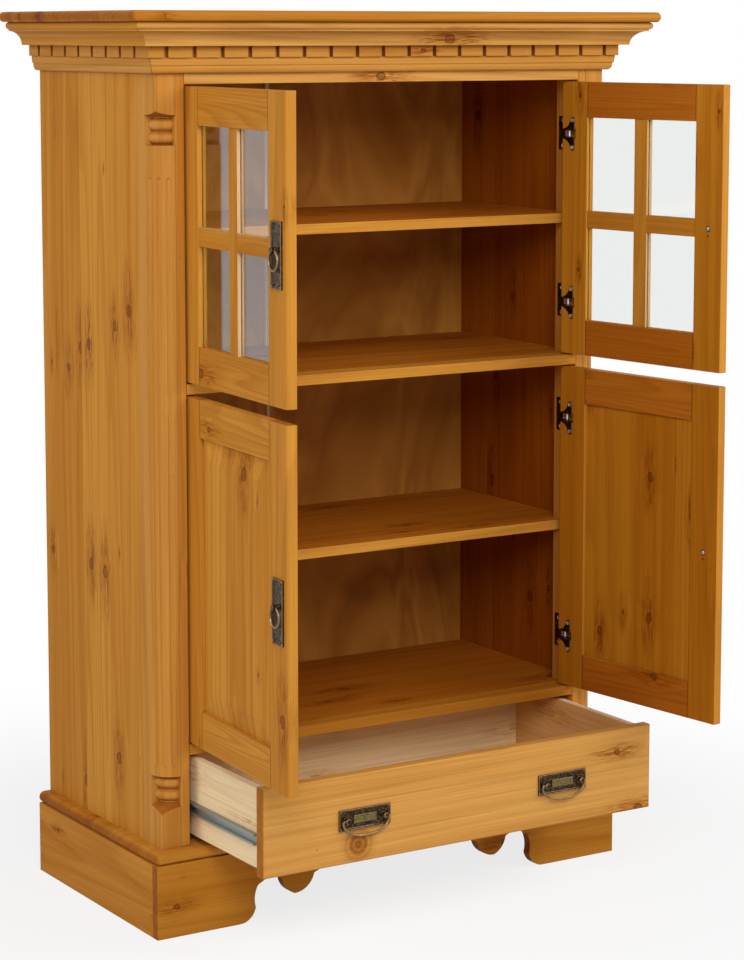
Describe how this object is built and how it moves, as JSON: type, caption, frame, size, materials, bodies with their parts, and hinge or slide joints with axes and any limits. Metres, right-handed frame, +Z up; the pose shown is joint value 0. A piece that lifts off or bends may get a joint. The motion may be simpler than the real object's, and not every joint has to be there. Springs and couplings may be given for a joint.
{
  "type": "highboard cabinet",
  "caption": "Tall pine cabinet with glazed upper doors, panelled lower doors, a drawer, dentil cornice, fluted corner posts and a scroll-cut plinth.",
  "frame": {"origin": "on the floor, at the middle of the cabinet's back", "axes": "+X to the viewer's right, +Y towards the back wall, +Z up"},
  "size_m": [0.958, 0.7351, 1.4],
  "materials": {
    "honey_pine": "stained and waxed pine",
    "pale_pine": "raw pale pine",
    "stained_plywood": "stained plywood",
    "white_strip": "white joint strip",
    "clear_glass": "clear float glass",
    "antique_bronze": "antique bronze",
    "steel": "zinc-plated steel"
  },
  "bodies": {
    "carcass": {"back_joint_strip": "white_strip", "back_panels": "stained_plywood", "base_board": "honey_pine", "bed_mouldings": "honey_pine", "bottom_board": "honey_pine", "cabinet_runners": "steel", "cap_board": "honey_pine", "ceiling_board": "honey_pine", "corner_post_left": "honey_pine", "corner_post_right": "honey_pine", "crown_front": "honey_pine", "crown_sides": "honey_pine", "dentil_bands": "honey_pine", "fixed_shelf": "honey_pine", "frieze_rail": "honey_pine", "front_apron": "honey_pine", "hinge_arms": "steel", "inner_strips": "honey_pine", "lower_shelf": "honey_pine", "plinth_back_rail": "honey_pine", "plinth_sides": "honey_pine", "runner_battens": "pale_pine", "shelf_pins": "steel", "side_panel_left": "honey_pine", "side_panel_right": "honey_pine", "upper_shelf": "honey_pine"},
    "drawer": {"drawer_back": "pale_pine", "drawer_bottom": "stained_plywood", "drawer_front": "honey_pine", "drawer_pull_plates": "antique_bronze", "drawer_runners": "steel", "drawer_sides": "pale_pine"},
    "upper_left_door": {"upper_left_glass": "clear_glass", "upper_left_glazing_bars": "honey_pine", "upper_left_hinge_cups": "antique_bronze", "upper_left_pull_plate": "antique_bronze", "upper_left_rails": "honey_pine", "upper_left_stiles": "honey_pine"},
    "upper_left_ring": {"upper_left_pull_ring": "antique_bronze"},
    "lower_left_door": {"lower_left_hinge_cups": "antique_bronze", "lower_left_panel": "honey_pine", "lower_left_pull_plate": "antique_bronze", "lower_left_rails": "honey_pine", "lower_left_stiles": "honey_pine"},
    "lower_left_ring": {"lower_left_pull_ring": "antique_bronze"},
    "upper_right_door": {"upper_right_glass": "clear_glass", "upper_right_glazing_bars": "honey_pine", "upper_right_hinge_cups": "antique_bronze", "upper_right_pull_plate": "antique_bronze", "upper_right_rails": "honey_pine", "upper_right_stiles": "honey_pine"},
    "upper_right_ring": {"upper_right_pull_ring": "antique_bronze"},
    "lower_right_door": {"lower_right_hinge_cups": "antique_bronze", "lower_right_panel": "honey_pine", "lower_right_pull_plate": "antique_bronze", "lower_right_rails": "honey_pine", "lower_right_stiles": "honey_pine"},
    "lower_right_ring": {"lower_right_pull_ring": "antique_bronze"},
    "drawer_bail_left_body": {"drawer_bail_left": "antique_bronze"},
    "drawer_bail_right_body": {"drawer_bail_right": "antique_bronze"}
  },
  "joints": [
    {"name": "drawer_slide", "type": "slide", "parent": "carcass", "child": "drawer", "axis": [0, -1, 0], "range_m": [-0.217, 0.045]},
    {"name": "upper_left_hinge", "type": "hinge", "parent": "carcass", "child": "upper_left_door", "pos_m": [-0.351, -0.386, 1.068], "axis": [0, 0, 1], "range_deg": [-7.5, 94.5]},
    {"name": "upper_left_ring_swing", "type": "hinge", "parent": "upper_left_door", "child": "upper_left_ring", "pos_m": [-0.38964, -0.70495, 1.06804], "axis": [0.0785, 0.9969, 0], "range_deg": [-3, 95]},
    {"name": "lower_left_hinge", "type": "hinge", "parent": "carcass", "child": "lower_left_door", "pos_m": [-0.351, -0.386, 0.559], "axis": [0, 0, 1], "range_deg": [-7.5, 94.5]},
    {"name": "lower_left_ring_swing", "type": "hinge", "parent": "lower_left_door", "child": "lower_left_ring", "pos_m": [-0.38964, -0.70495, 0.56304], "axis": [0.0785, 0.9969, 0], "range_deg": [-3, 95]},
    {"name": "upper_right_hinge", "type": "hinge", "parent": "carcass", "child": "upper_right_door", "pos_m": [0.351, -0.386, 1.068], "axis": [0, 0, 1], "range_deg": [-97, 5]},
    {"name": "upper_right_ring_swing", "type": "hinge", "parent": "upper_right_door", "child": "upper_right_ring", "pos_m": [0.40352, -0.70296, 1.06804], "axis": [0.1219, -0.9925, 0], "range_deg": [-3, 95]},
    {"name": "lower_right_hinge", "type": "hinge", "parent": "carcass", "child": "lower_right_door", "pos_m": [0.351, -0.386, 0.559], "axis": [0, 0, 1], "range_deg": [-97, 5]},
    {"name": "lower_right_ring_swing", "type": "hinge", "parent": "lower_right_door", "child": "lower_right_ring", "pos_m": [0.40352, -0.70296, 0.56304], "axis": [0.1219, -0.9925, 0], "range_deg": [-3, 95]},
    {"name": "drawer_bail_left_swing", "type": "hinge", "parent": "drawer", "child": "drawer_bail_left_body", "pos_m": [-0.18194, -0.6165, 0.203], "axis": [-1, 0, 0], "range_deg": [-3, 95]},
    {"name": "drawer_bail_right_swing", "type": "hinge", "parent": "drawer", "child": "drawer_bail_right_body", "pos_m": [0.18194, -0.6165, 0.203], "axis": [-1, 0, 0], "range_deg": [-3, 95]}
  ]
}
